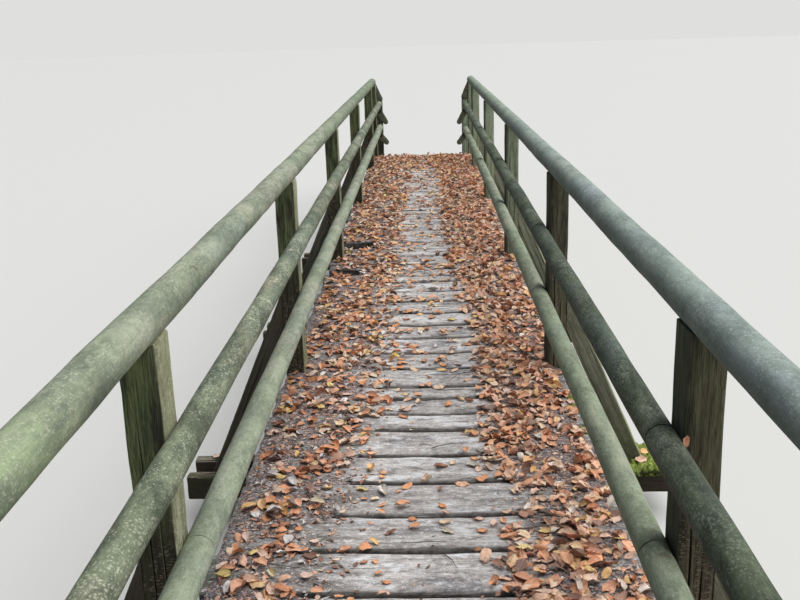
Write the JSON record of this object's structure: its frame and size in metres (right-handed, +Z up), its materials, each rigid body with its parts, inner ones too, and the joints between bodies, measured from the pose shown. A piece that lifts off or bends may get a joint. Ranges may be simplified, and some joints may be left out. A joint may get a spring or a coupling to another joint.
{
  "type": "timber footbridge",
  "caption": "Narrow woodland footbridge: open board deck on two deep bearers, square posts with outboard struts, and three round log rails each side that fall at both ends.",
  "frame": {"origin": "on the ground plane under the middle of the bridge", "axes": "+Y along the bridge in the direction of walking of the reference view, +X to the right across the deck, +Z up"},
  "size_m": [2.43, 17.9094, 1.7839],
  "materials": {
    "post_timber": "weathered squared timber, dark with green algae",
    "transom_timber": "dark damp timber with moss on top",
    "strut_timber": "dark brown weathered timber",
    "deck_board": "silver grey weathered boards, worn in the middle",
    "bearer_timber": "laminated timber, weathered grey brown",
    "sill_timber": "dark rough sawn timber",
    "handrail_log": "debarked log, matt, covered in pale green algae",
    "rail_log": "debarked log, matt, green grey algae with pale lichen specks"
  },
  "bodies": {
    "root": {"posts_1": "post_timber", "posts_2": "post_timber", "posts_3": "post_timber", "posts_4": "post_timber", "posts_5": "post_timber", "posts_6": "post_timber", "transom_1": "transom_timber", "transom_2": "transom_timber", "transom_3": "transom_timber", "transom_4": "transom_timber", "transom_5": "transom_timber", "transom_6": "transom_timber", "struts_1": "strut_timber", "struts_2": "strut_timber", "struts_3": "strut_timber", "struts_4": "strut_timber", "struts_5": "strut_timber", "struts_6": "strut_timber", "deck_bay_1": "deck_board", "deck_bay_2": "deck_board", "deck_bay_3": "deck_board", "deck_bay_4": "deck_board", "deck_bay_5": "deck_board", "deck_end_near": "deck_board", "deck_end_far": "deck_board", "bearer_left": "bearer_timber", "bearer_right": "bearer_timber", "sill_near": "sill_timber", "sill_far": "sill_timber", "end_posts_near": "post_timber", "end_posts_far": "post_timber", "wing_posts_near": "post_timber", "wing_posts_far": "post_timber", "top_rail_left": "handrail_log", "top_rail_right": "handrail_log", "mid_rail_left": "rail_log", "mid_rail_right": "rail_log", "low_rail_left": "rail_log", "low_rail_right": "rail_log", "wing_rails_near_left": "handrail_log", "wing_rails_near_right": "handrail_log", "wing_rails_far_left": "handrail_log", "wing_rails_far_right": "handrail_log"}
  },
  "joints": []
}
